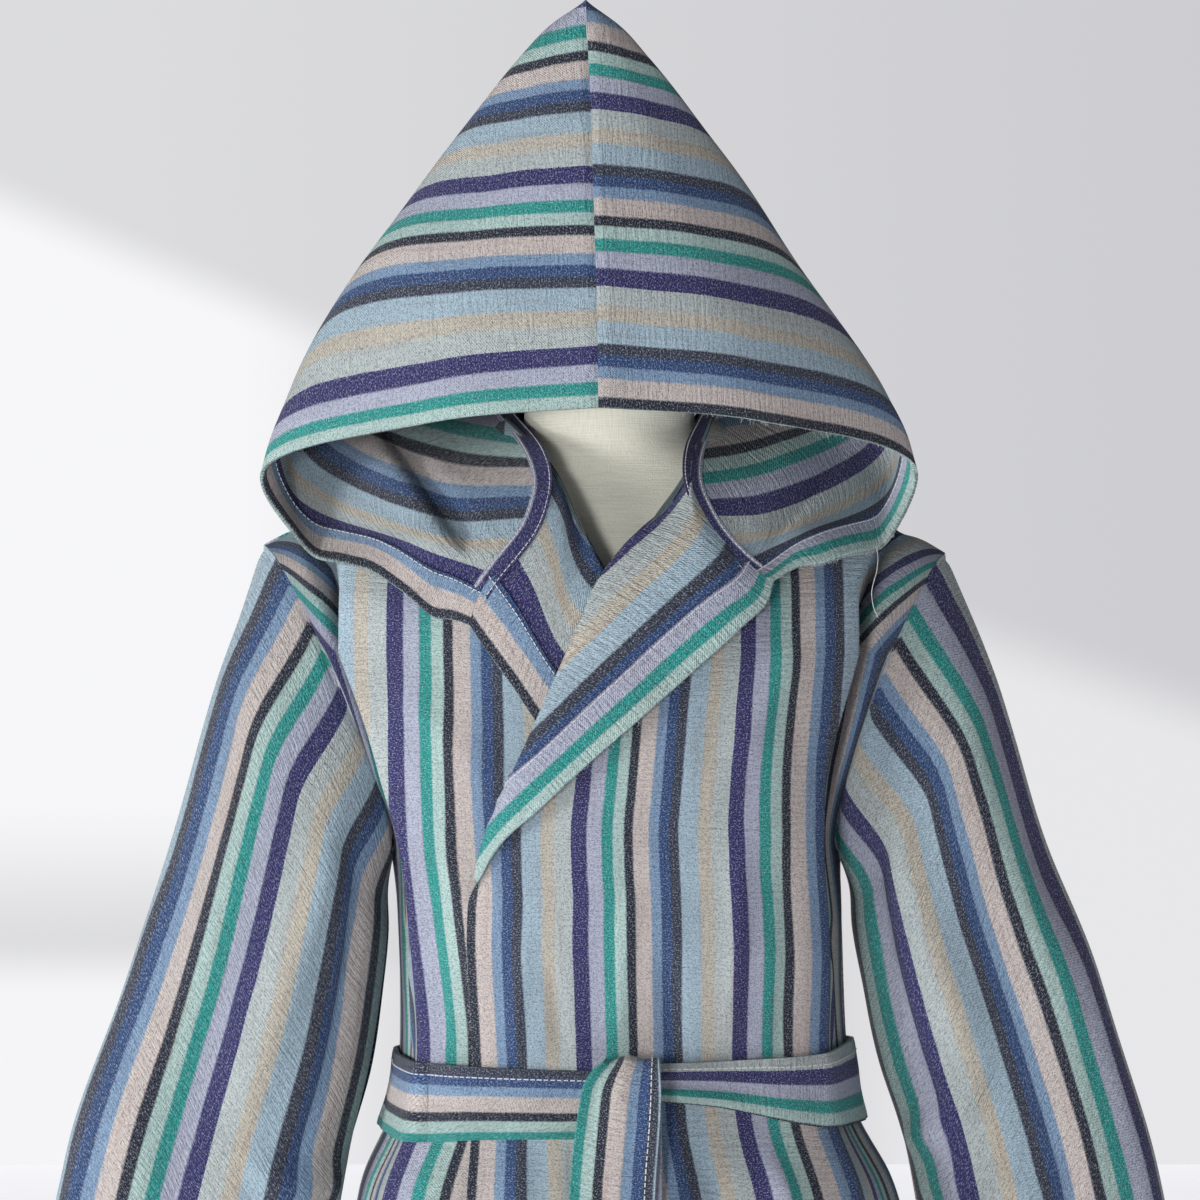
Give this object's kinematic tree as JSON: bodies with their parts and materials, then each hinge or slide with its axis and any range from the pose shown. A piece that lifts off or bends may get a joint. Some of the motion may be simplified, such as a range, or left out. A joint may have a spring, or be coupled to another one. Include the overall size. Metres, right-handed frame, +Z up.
{
  "type": "hooded bathrobe on a dress form with its stand",
  "caption": "Hooded wrap bathrobe of striped cotton with wide sleeves, turned-back lapels and a tied belt, worn by a limbless linen dress form on a pole and a round base.",
  "frame": {"origin": "middle of the underside of the stand's round base, on the floor, below the dress form's axis", "axes": "+Z up along the pole, -Y out of the front of the robe, +X towards the wearer's left"},
  "size_m": [0.7676, 0.3308, 1.7384],
  "materials": {
    "striped_cotton": "matt twill, stripes down its length",
    "form_linen": "matt plain weave over a hard form",
    "stand_wood": "satin",
    "stand_metal": "satin"
  },
  "bodies": {
    "root": {"back": "striped_cotton", "front_left": "striped_cotton", "front_right": "striped_cotton", "hood_left": "striped_cotton", "hood_right": "striped_cotton", "sleeve_left": "striped_cotton", "sleeve_right": "striped_cotton", "neck_tape": "striped_cotton", "belt_band": "striped_cotton", "belt_knot": "striped_cotton", "belt_tail_front": "striped_cotton", "belt_tail_back": "striped_cotton", "form_torso": "form_linen", "form_neck_cap": "stand_wood", "form_collar": "stand_metal", "stand_pole": "stand_metal", "stand_base": "stand_metal"}
  },
  "joints": []
}
